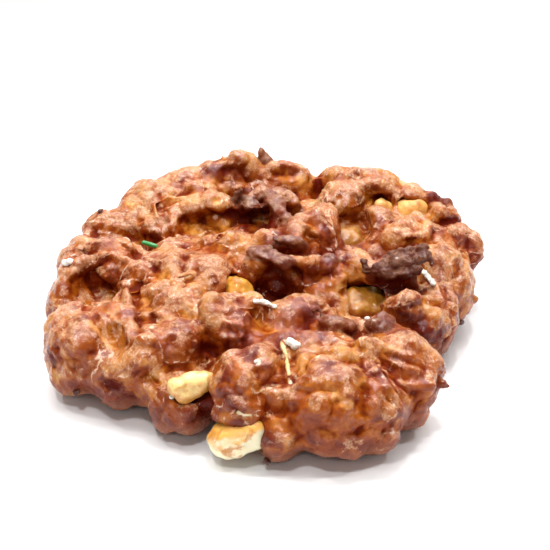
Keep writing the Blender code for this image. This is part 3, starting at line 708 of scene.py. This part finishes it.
class Nodes:
    """Short names for building a node material."""

    def __init__(self, name):
        self.material = bpy.data.materials.new(name)
        self.material.use_nodes = True
        self.tree = self.material.node_tree
        self.shader = self.tree.nodes["Principled BSDF"]

    def add(self, kind, **settings):
        node = self.tree.nodes.new(kind)
        for key, value in settings.items():
            setattr(node, key, value)
        return node

    def link(self, source, target):
        self.tree.links.new(source, target)

    def feed(self, socket, value):
        if isinstance(value, bpy.types.NodeSocket):
            self.link(value, socket)
        else:
            socket.default_value = value

    def set(self, **values):
        for key, value in values.items():
            self.feed(self.shader.inputs[key.replace("_", " ")], value)

    def value(self, name):
        return self.add("ShaderNodeAttribute", attribute_name=name).outputs["Fac"]

    def math(self, operation, first, second):
        node = self.add("ShaderNodeMath", operation=operation)
        self.feed(node.inputs[0], first)
        self.feed(node.inputs[1], second)
        return node.outputs[0]

    def times(self, first, *others):
        """Values multiplied together."""
        for other in others:
            first = self.math("MULTIPLY", first, other)
        return first

    def total(self, start, *terms):
        """A start value plus each source times its weight."""
        for source, weight in terms:
            node = self.add("ShaderNodeMath", operation="MULTIPLY_ADD")
            for socket, value in zip(node.inputs, (source, weight, start)):
                self.feed(socket, value)
            start = node.outputs[0]
        return start

    def palette(self, source, stops):
        """A colour for a value, from stops of place and colour."""
        node = self.add("ShaderNodeValToRGB")
        self.link(source, node.inputs["Fac"])
        ends = node.color_ramp.elements
        ends.remove(ends[1])
        ends[0].position, ends[0].color = stops[0][0], (*stops[0][1], 1)
        for place, colour in stops[1:]:
            ends.new(place).color = (*colour, 1)
        return node.outputs["Color"]

    def ramp(self, source, low, high, out_low=0.0, out_high=1.0):
        """One value at low and another at high, smooth between."""
        node = self.add("ShaderNodeMapRange", interpolation_type="SMOOTHSTEP")
        self.feed(node.inputs["Value"], source)
        ends = {"From Min": low, "From Max": high, "To Min": out_low, "To Max": out_high}
        for key, value in ends.items():
            node.inputs[key].default_value = value
        return node.outputs[0]

    def mix(self, factor, first, second):
        node = self.add("ShaderNodeMix", data_type="RGBA")
        self.feed(node.inputs["Factor"], factor)
        for socket, colour in zip((node.inputs["A"], node.inputs["B"]), (first, second)):
            self.feed(socket, (*colour, 1) if isinstance(colour, tuple) else colour)
        return node.outputs["Result"]

    def place(self):
        return self.add("ShaderNodeTexCoord").outputs["Object"]

    def along(self, axis):
        """The coordinate along one axis, in metres."""
        split = self.add("ShaderNodeSeparateXYZ")
        self.link(self.place(), split.inputs[0])
        return split.outputs[axis]

    def noise(self, size, detail=3.0, roughness=0.55, warp=0.0):
        """Cloud noise with lumps about this many millimetres apart."""
        node = self.add("ShaderNodeTexNoise")
        self.link(self.place(), node.inputs["Vector"])
        node.inputs["Scale"].default_value = 1 / (size * MM)
        node.inputs["Detail"].default_value = detail
        node.inputs["Roughness"].default_value = roughness
        node.inputs["Distortion"].default_value = warp
        return node.outputs["Fac"]

    def bump(self, height, depth, under=None):
        """Bump from a height of 0 to 1 that is depth millimetres deep."""
        node = self.add("ShaderNodeBump")
        node.inputs["Distance"].default_value = depth * MM
        self.link(height, node.inputs["Height"])
        if under is not None:
            self.link(under, node.inputs["Normal"])
        return node.outputs["Normal"]

    def patch(self, name, ragged, low=0.3, high=0.6, most=1.0):
        """A stored tint with its edge broken up by noise."""
        stray = self.times(self.math("SUBTRACT", ragged, 0.5), 1.1)
        loose = self.math("ADD", self.value(name), stray)
        return self.times(self.ramp(loose, low, high, 0.0, most), self.ramp(self.value(name), 0.02, 0.15))


class CrustNodes(Nodes):
    """The noises and stored values that the parts of the crust share."""

    def __init__(self):
        super().__init__("crust")
        self.broad = self.noise(14.0, 2.0)
        self.middle = self.noise(5.0, 3.0, 0.5, 0.6)
        self.patchy = self.noise(4.5, 6.0, 0.66, 0.9)
        self.small = self.noise(1.8, 4.0, 0.6, 0.4)
        self.fine = self.noise(0.7, 3.0)
        self.up = self.value("up")
        self.dip = self.value("dip")
        self.valley = self.value("valley")
        self.brown_and_shade = self.value("brown_and_shade")
        self.burnt = self.value("burnt")
        self.char = self.patch("char", self.small)
        self.amber = self.patch("amber", self.small, 0.25, 0.7)
        self.sunk = self.ramp(self.valley, 0.2, 2.2)


def fried_dough(n):
    """Dough under the clear glaze, yellow in the gold patches: darker and redder where it is sunk, partly
    glaze pooling and partly painted shade, and lighter where it faces up, which is painted light.
    """
    # painted light: the skin is lighter where it faces up
    tone = n.total(-0.79, (n.up, 0.14), (n.broad, 0.8), (n.middle, 1.1), (n.patchy, 0.36))
    # painted shade: the char and brown patches also darken holes, pits and the crust under the wing and
    # rims
    tone = n.total(tone, (n.small, 0.25), (n.char, -0.45), (n.amber, 0.12), (n.brown_and_shade, -0.32))
    # painted shade, with glaze pooling: darker in dips, valleys and creases
    tone = n.total(tone, (n.ramp(n.dip, 0.0, 0.7), -0.22), (n.sunk, -0.18))
    tone = n.total(tone, (n.ramp(n.value("crease"), 0.02, 0.30), -0.08))
    thin = n.times(n.ramp(n.broad, 0.46, 0.60), n.ramp(n.middle, 0.44, 0.56, 0.0, 0.35))
    gold = n.math("MAXIMUM", n.patch("gold", n.middle, 0.2, 1.0, 0.9), thin)
    return n.mix(gold, n.palette(tone, SYRUP), n.palette(tone, GOLDEN))


def film_and_sheen_cover(n):
    """Where the dried sugar film lies: in ragged patches, mostly on what stands out and faces up. The
    share that grows with facing up is painted sheen.
    """
    # painted sheen: more film where the skin faces up
    cover = n.total(-0.545, (n.up, 0.18), (n.patchy, 1.0), (n.patch("frost_and_sheen", n.small), 0.20))
    cover = n.total(cover, (n.char, -0.3), (n.amber, -0.25), (n.brown_and_shade, -0.12))
    cover = n.total(cover, (n.ramp(n.dip, -0.5, 0.5), -0.12), (n.sunk, -0.10))
    cover = n.total(cover, (n.math("SUBTRACT", n.broad, 0.5), 0.4))
    return n.times(n.ramp(cover, -0.04, 0.08), n.ramp(n.small, 0.35, 0.60, 0.2, 0.8))


def floor_reflection_sides(n, colour):
    """Painted reflection of the white floor: duller, mauve sides near the table, where they do not face
    up.
    """
    low = n.times(n.ramp(n.along("Z"), FLOOR_REFLECTION_TOP * MM, FLOOR_REFLECTION_FULL * MM), n.ramp(n.up, 0.5, 0.0, 0.0, 0.55))
    return n.mix(low, colour, FLOOR_REFLECTION_MAUVE)


def pale_marks(n, colour):
    """Fine pale veins of dried sugar, which where they face up also stand for painted glints along the
    ridges, and cream spots.
    """
    lines = n.times(n.ramp(n.value("vein"), 0.6, 0.95), n.ramp(n.small, 0.42, 0.56, 0.0, 0.6))
    colour = n.mix(n.times(lines, n.ramp(n.up, -0.1, 0.3)), colour, VEIN_AND_GLINT_PALE)
    return n.mix(n.patch("cream", n.small), colour, CREAM)


def scorched(n, colour):
    """Dark maroon on the lightly burnt shards and near black on the rest, greyer where they face up,
    which is painted light on their tops.
    """
    lit = n.times(n.ramp(n.up, 0.0, 0.7), n.ramp(n.patchy, 0.44, 0.56))
    lit = n.times(lit, n.ramp(n.small, 0.35, 0.55, 0.3, 1.0))
    dark = n.mix(n.ramp(n.burnt, 0.55, 0.8), n.mix(lit, MAROON, LIT_MAROON), n.mix(lit, CHAR, ASH_AND_LIT_CHAR))
    share = n.math("ADD", n.ramp(n.burnt, 0.06, 0.30, 0.0, 0.82), n.ramp(n.burnt, 0.6, 0.8, 0.0, 0.14))
    return n.mix(share, colour, dark)


def wet_glaze(n):
    """A clear glossy coat, thin in the hollows, on undersides and on burnt parts."""
    weight = n.times(
        n.ramp(n.dip, 0.5, -0.1),
        n.ramp(n.valley, 1.8, 0.2),
        n.ramp(n.value("char"), 0.2, 0.7, 1.0, 0.4),
        n.ramp(n.burnt, 0.65, 0.85, 1.0, 0.4),
        n.ramp(n.up, -0.2, 0.5, 0.45, 1.0),
    )
    n.set(Coat_Weight=weight, Coat_Roughness=0.05, Coat_IOR=1.48)
    n.set(Coat_Normal=n.bump(n.fine, 0.07, n.bump(n.small, 0.5)))


def crust():
    """Fried dough under clear glaze, darker in its dips from glaze pooling and painted shade, with ragged
    patches of dried sugar film that also hold painted sheen, and a painted floor reflection low on its
    sides.
    """
    n = CrustNodes()
    colour = n.mix(film_and_sheen_cover(n), fried_dough(n), n.palette(n.fine, FILM_AND_SHEEN))
    colour = pale_marks(n, floor_reflection_sides(n, colour))
    n.set(Base_Color=scorched(n, colour), Roughness=n.ramp(n.small, 0.35, 0.65, 0.30, 0.55))
    n.set(Specular_IOR_Level=0.05, Normal=n.bump(n.fine, 0.2, n.bump(n.small, 0.5)))
    n.set(Subsurface_Weight=0.35, Subsurface_Scale=0.003, Subsurface_Radius=(1.0, 0.35, 0.1))
    wet_glaze(n)
    return n.material


def flesh(name, top, side):
    """Cooked apple or pale dough, one colour on top and another on its sides, with syrup stains."""
    n = Nodes(name)
    stain = n.noise(5.0, 4.0, 0.6, 0.5)
    grain = n.noise(1.0, 3.0)
    turn = n.math("ADD", n.value("up"), n.times(n.math("SUBTRACT", stain, 0.5), 1.6))
    colour = n.mix(n.ramp(turn, -0.1, 0.5), side, top)
    pale = tuple(min(0.95, 1.4 * part + 0.06) for part in top)
    colour = n.mix(n.ramp(grain, 0.50, 0.75, 0, 0.35), colour, pale)
    stained = tuple(part * share for part, share in zip(top, STAIN_SHARES))
    colour = n.mix(n.ramp(stain, 0.52, 0.66, 0, 0.8), colour, stained)
    n.set(Base_Color=colour, Roughness=0.4, Subsurface_Weight=0.3, Subsurface_Scale=0.003)
    n.set(Coat_Weight=0.8, Coat_Roughness=0.10, Coat_IOR=1.35)
    n.set(Normal=n.bump(grain, 0.2, n.bump(stain, 0.6)))
    return n.material


def grainy(name, size, detail, spread, colours, depth, **looks):
    """Two colours mixed by one noise, which also makes the bumps."""
    n = Nodes(name)
    grain = n.noise(size, detail)
    n.set(Base_Color=n.mix(n.ramp(grain, *spread), *colours), Normal=n.bump(grain, depth), **looks)
    return n.material


def sugar():
    looks = {"Roughness": 0.6, "Subsurface_Weight": 0.2, "Subsurface_Scale": 0.001}
    return grainy("sugar_white", 0.8, 3.0, (0.3, 0.7), SUGAR_WHITES, 0.3, **looks)


def green_candy():
    looks = {"Roughness": 0.35, "Coat_Weight": 0.4, "Coat_Roughness": 0.15}
    return grainy("sprinkle_green", 0.7, 2.0, (0.35, 0.65), CANDY_GREENS, 0.08, **looks)


def burnt_crumb():
    looks = {"Roughness": 0.6, "Coat_Weight": 0.4, "Coat_Roughness": 0.25}
    return grainy("crumb_burnt", 0.9, 3.0, (0.4, 0.7), (CHAR, ASH_AND_LIT_CHAR), 0.3, **looks)


def paper_white():
    n = Nodes("floor_white")
    n.set(Base_Color=n.mix(n.ramp(n.along("Y"), *FLOOR_FADE), FLOOR_NEAR, FLOOR_FAR))
    n.set(Roughness=0.9, Specular_IOR_Level=0.1)
    return n.material


# Pieces


def finish(made, material):
    """Gives a piece its material and its body."""
    made.data.shade_smooth()
    made.data.materials.clear()
    made.data.materials.append(material)
    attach(made, "root")


def dough():
    """Makes the crust and gives back its surface, for the toppings."""
    made = skin()
    surface = tree_of(made.data)
    finish(made, crust())
    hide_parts("dough")
    return surface


# Each piece of apple: colour on top, colour on its sides, how much its right end leans up, how far it
# is lifted, and how many times wider, deeper and taller it is than the body it stands for.
APPLES = {
    "apple_front": ((0.90, 0.46, 0.09), (0.96, 0.84, 0.56), 0.28, 0.0, (1.0, 1.0, 1.0)),
    "apple_left": ((0.93, 0.69, 0.27), (0.62, 0.27, 0.04), 0.12, 1.2, (1.0, 1.0, 1.0)),
    "apple_deep_pit": ((0.70, 0.33, 0.04), (0.48, 0.17, 0.006), -0.10, -1.3, (1.0, 1.0, 1.0)),
    "apple_right_pit": ((0.42, 0.17, 0.012), (0.34, 0.11, 0.005), -0.15, -2.4, (1.1, 1.4, 0.9)),
    "apple_far_pit": ((0.40, 0.17, 0.025), (0.36, 0.12, 0.01), 0.0, 0.0, (1.3, 1.1, 1.0)),
    "apple_right": ((0.80, 0.40, 0.10), (0.66, 0.32, 0.05), 0.22, -0.4, (1.1, 1.0, 1.0)),
    "apple_right_slice": ((0.84, 0.48, 0.14), (0.60, 0.27, 0.03), -0.35, -1.8, (1.0, 0.8, 1.0)),
}
APPLE_VOXEL = 0.45
APPLE_MELT = 12  # passes that melt its corners
APPLE_PLUMP = 0.3  # share of the way from a block to an egg


def apple(node, top, side, lean, lift, times):
    """One piece of apple, plumper and less even than the block it stands for."""
    made = copy_of(node)
    melt(made, APPLE_VOXEL)
    edges = edges_of(made)
    points = plump(rounded(points_of(made), edges, APPLE_MELT), APPLE_PLUMP)
    middle = middle_of(points)
    points = middle + times * (points - middle)
    points[:, 2] += lean * (points[:, 0] - middle[0]) + lift * MM
    put_points(made, points)
    rise = 0.4 + 0.9 * cloud(points, 4.0, 11) + 0.35 * cloud(points, 1.7, 12)
    put_points(made, points + normals_of(made) * rise[:, None] * MM)
    keep(made, "up", neighbour_mean(normals_of(made), edges, 3)[:, 2])
    finish(made, flesh(node + "_flesh", top, side))
    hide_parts(node)


# Flakes of dried white glaze: places along each, half its width, half its thickness.
CHIPS = [
    ([(-62.7, 5.8, 26.4), (-61.0, 5.2, 27.2)], 1.3, 0.8),
    ([(-2.9, -23.6, 31.0), (-0.6, -22.4, 30.0), (1.7, -22.2, 29.0)], 1.0, 0.6),
    ([(7.0, -41.2, 28.0), (8.2, -42.6, 27.8)], 1.4, 1.2),
    ([(48.4, 3.9, 24.6), (49.6, 1.0, 24.2), (51.2, -4.0, 24.5)], 0.9, 0.6),
    ([(29.2, -28.0, 27.2)], 0.7, 0.5),
    ([(-26.6, -50.6, 16.4)], 0.7, 0.5),
    ([(-2.6, -51.0, 28.4)], 0.6, 0.3),
]
# Burnt crumbs stuck to the crust: place, radius.
CRUMBS = [
    ((0.7, -62.1, 3.4), 1.2),
    ((-55.3, -36.0, 7.5), 1.1),
    ((60.5, 0.8, 8.0), 0.9),
    ((-55.1, 36.5, 28.0), 0.9),
]
CRUMB_HEIGHT = 0.85  # share of its radius
# A thin pale thread of dough: places along it, half its width, half its thickness, its two colours.
THREAD = [(4.7, -42.2, 28.0), (5.5, -45.2, 26.7), (5.8, -48.4, 25.6), (6.3, -52.0, 24.7)]
THREAD_SIZE = (0.55, 0.5)
THREAD_COLOURS = ((0.90, 0.68, 0.30), (0.88, 0.52, 0.22))
# The green sugar strand: its two ends, radius.
SPRINKLE = ([(-39.5, 19.5, 25.9), (-35.5, 18.2, 25.3)], 0.72)


def lumps(name, rows, voxel, rough, seed):
    """Small uneven bodies in one mesh, from rows of places, half width and half thickness."""
    shape = bmesh.new()
    for places, radius, height in rows:
        for ball in balls_along([(*place, radius) for place in places]):
            add_ball(shape, (*ball[:3], radius), height, 3)
    made = object_from(name, shape)
    melt(made, voxel)
    points = points_of(made)
    rise = rough * (cloud(points, 1.6, seed) + 0.5 * cloud(points, 0.7, seed + 1))
    put_points(made, points + normals_of(made) * rise[:, None] * MM)
    return made


def glaze_chips(surface):
    rows = []
    for places, radius, height in CHIPS:
        rows.append(([rest(surface, place, 0.5 * height) for place in places], radius, height))
    finish(lumps("glaze_chips", rows, voxel=0.2, rough=0.5, seed=21), sugar())


def burnt_crumbs(surface):
    rows = []
    for place, radius in CRUMBS:
        rows.append(([rest(surface, place, 0.4 * radius)], radius, CRUMB_HEIGHT * radius))
    finish(lumps("burnt_crumbs", rows, voxel=0.2, rough=0.6, seed=31), burnt_crumb())


def dough_thread(surface):
    row = ([rest(surface, place, 0.3) for place in THREAD], *THREAD_SIZE)
    made = lumps("strand", [row], voxel=0.2, rough=0.4, seed=51)
    finish(made, flesh("strand_flesh", *THREAD_COLOURS))


def sprinkle():
    ends, radius = SPRINKLE
    made = lumps("sprinkle", [(ends, radius, radius)], voxel=0.15, rough=0.1, seed=41)
    finish(made, green_candy())


# Stage: a pale floor that is darker far behind, small lights and a dim sky. All of it in metres.
FLOOR_SIZE = 3.0
FLOOR_FADE = (0.12, 0.30)  # from near to far, along Y
FLOOR_NEAR = (0.90, 0.90, 0.90)
FLOOR_FAR = (0.52, 0.52, 0.52)
SKY_COLOUR = (1.0, 0.985, 0.97, 1)
SKY_RAMP = {"From Min": 0.1, "From Max": 0.9, "To Min": 0.16, "To Max": 0.68}  # strength along Y
LIGHTS_AIM = (0, 0, 0.02)
# Soft lights made of a level grid of small square panels, which leaves small sharp glints:
# name, middle, spread, counts, side of one panel, power of them all.
PANEL_GRIDS = [
    ("overhead", (0.0, 0.08, 0.80), (0.6, 0.5), (4, 3), 0.05, 4.5),
    ("front", (0.0, -0.50, 0.42), (0.7, 0.1), (5, 2), 0.03, 0.5),
]
# Single panels: name, place, size, power.
PANELS = [
    ("window", (0.1, 0.55, 0.62), (0.8, 0.3), 4.2),
    ("key", (-0.12, -0.25, 0.62), (0.055, 0.055), 1.3),
    ("spark_middle", (0.06, 0.10, 0.80), (0.05, 0.05), 1.3),
    ("spark_right", (0.34, -0.08, 0.62), (0.045, 0.045), 1.0),
    ("spark_left", (-0.34, 0.06, 0.62), (0.045, 0.045), 1.0),
]


def aim(made, place, target):
    made.location = place
    made.rotation_mode = "QUATERNION"
    made.rotation_quaternion = (target - place).to_track_quat("-Z", "Y")


def camera():
    data = bpy.data.cameras.new("camera")
    data.lens = CAMERA_LENS
    data.sensor_width = CAMERA_SENSOR
    data.clip_start = 0.01
    made = bpy.data.objects.new("camera", data)
    bpy.context.scene.collection.objects.link(made)
    rise = math.radians(CAMERA_RISE)
    back = Vector((0, -math.cos(rise), math.sin(rise)))
    aim(made, mm(LOOK_AT) + back * CAMERA_DISTANCE * MM, mm(LOOK_AT))
    bpy.context.scene.camera = made


def panel(name, place, size, power):
    data = bpy.data.lights.new(name, "AREA")
    data.shape = "RECTANGLE"
    data.size, data.size_y = size
    data.energy = power
    made = bpy.data.objects.new(name, data)
    bpy.context.scene.collection.objects.link(made)
    aim(made, Vector(place), Vector(LIGHTS_AIM))


def panel_grid(name, middle, spread, counts, side, power):
    for i in range(counts[0]):
        for j in range(counts[1]):
            x = middle[0] + spread[0] * ((i + 0.5) / counts[0] - 0.5)
            y = middle[1] + spread[1] * ((j + 0.5) / counts[1] - 0.5)
            panel(f"{name}_{i}_{j}", (x, y, middle[2]), (side, side), power / (counts[0] * counts[1]))


def sky():
    """Dim white light from the front and sides, brighter from the back."""
    world = bpy.data.worlds.new("studio")
    bpy.context.scene.world = world
    world.use_nodes = True
    tree = world.node_tree
    background = tree.nodes["Background"]
    background.inputs["Color"].default_value = SKY_COLOUR
    split = tree.nodes.new("ShaderNodeSeparateXYZ")
    tree.links.new(tree.nodes.new("ShaderNodeTexCoord").outputs["Generated"], split.inputs[0])
    slope = tree.nodes.new("ShaderNodeMapRange")
    for key, value in SKY_RAMP.items():
        slope.inputs[key].default_value = value
    tree.links.new(split.outputs["Y"], slope.inputs["Value"])
    tree.links.new(slope.outputs[0], background.inputs["Strength"])


def stage():
    shape = bmesh.new()
    bmesh.ops.create_grid(shape, x_segments=1, y_segments=1, size=FLOOR_SIZE)
    floor = object_from("floor", shape)
    floor.data.materials.append(paper_white())
    sky()
    for grid in PANEL_GRIDS:
        panel_grid(*grid)
    for light in PANELS:
        panel(*light)
    bpy.context.scene.view_settings.view_transform = "Standard"
    bpy.context.scene.view_settings.look = "None"


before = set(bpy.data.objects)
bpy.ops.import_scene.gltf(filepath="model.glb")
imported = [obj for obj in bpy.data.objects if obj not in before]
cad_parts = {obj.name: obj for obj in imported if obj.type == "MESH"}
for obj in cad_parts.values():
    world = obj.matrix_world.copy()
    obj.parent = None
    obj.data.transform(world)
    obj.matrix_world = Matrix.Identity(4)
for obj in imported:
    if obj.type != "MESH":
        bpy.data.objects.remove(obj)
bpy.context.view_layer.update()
camera()
surface = dough()
for node, look in APPLES.items():
    apple(node, *look)
glaze_chips(surface)
burnt_crumbs(surface)
dough_thread(surface)
sprinkle()
stage()
